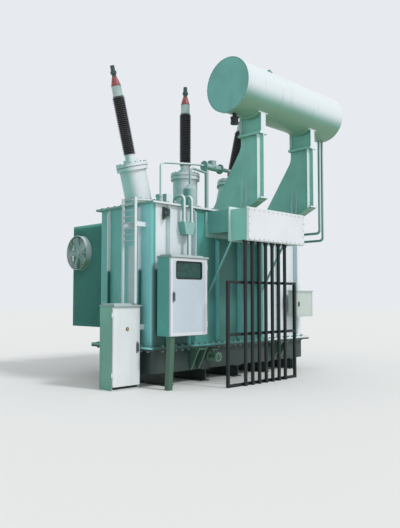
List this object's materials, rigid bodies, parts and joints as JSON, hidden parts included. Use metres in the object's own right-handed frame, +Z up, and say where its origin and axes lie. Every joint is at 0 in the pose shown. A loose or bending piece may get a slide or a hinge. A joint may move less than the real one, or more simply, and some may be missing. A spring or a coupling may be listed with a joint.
{
  "type": "power transformer",
  "caption": "Oil-immersed power transformer with ribbed tank, leaning bushings, raised conservator barrel, cable box over a cable rack, hinged cabinets, radiators and a fan.",
  "frame": {"origin": "ground under the middle of the tank, on the underside of the middle skid", "axes": "+X along the tank towards the far end of the conservator, -Y towards the cable box, +Z up"},
  "size_m": [5.106, 3.623, 5.5975],
  "materials": {
    "teal_paint": "semi-gloss enamel",
    "door_paint": "semi-gloss enamel",
    "rack_paint": "satin",
    "cable_sheath": "matt",
    "dark_glaze": "gloss glaze",
    "bushing_metal": "satin",
    "handle_metal": "satin",
    "fan_metal": "satin",
    "window_glass": "gloss"
  },
  "bodies": {
    "root": {"bell_tank": "teal_paint", "bushing_heads": "bushing_metal", "cabinet_hinges": "handle_metal", "cabinet_roofs": "teal_paint", "cable_tray": "teal_paint", "conduit_pocket": "teal_paint", "conduits": "teal_paint", "conservator_barrel": "teal_paint", "conservator_brackets": "teal_paint", "conservator_far_cap": "teal_paint", "conservator_near_cap": "teal_paint", "conservator_saddles": "teal_paint", "drain_valve": "teal_paint", "drive_cabinet": "teal_paint", "drive_leg": "teal_paint", "drop_pipes": "teal_paint", "fan_housing": "teal_paint", "far_cabinet": "door_paint", "gas_pipe": "teal_paint", "gas_relay": "teal_paint", "insulators": "dark_glaze", "jacking_pads": "teal_paint", "lifting_lugs": "teal_paint", "lower_tank": "teal_paint", "lv_box_cover": "door_paint", "lv_braces": "teal_paint", "lv_cable_box": "teal_paint", "lv_neck": "teal_paint", "marshalling_cabinet": "teal_paint", "oil_pipes": "teal_paint", "power_cables": "cable_sheath", "rack_posts": "rack_paint", "rack_rails": "rack_paint", "radiators": "teal_paint", "skid_beams": "teal_paint", "tank_cover": "teal_paint", "tap_changer_head": "teal_paint", "turrets": "teal_paint", "wall_ribs": "teal_paint"},
    "marshalling_door": {"marshalling_door": "door_paint", "marshalling_handle": "handle_metal"},
    "drive_door": {"drive_door": "door_paint", "drive_window": "window_glass", "drive_handle": "handle_metal"},
    "fan_rotor": {"fan_rotor": "fan_metal"}
  },
  "joints": [
    {"name": "marshalling_door_hinge", "type": "hinge", "parent": "root", "child": "marshalling_door", "pos_m": [-2.617, -0.507, 0.6], "axis": [0, 0, -1], "range_deg": [0, 110]},
    {"name": "drive_door_hinge", "type": "hinge", "parent": "root", "child": "drive_door", "pos_m": [-1.176, -1.078, 1.4], "axis": [0, 0, 1], "range_deg": [0, 85]},
    {"name": "fan_spin", "type": "hinge", "parent": "root", "child": "fan_rotor", "pos_m": [-1.781, 1.646, 2.208], "axis": [-1, 0, 0], "continuous": true}
  ]
}
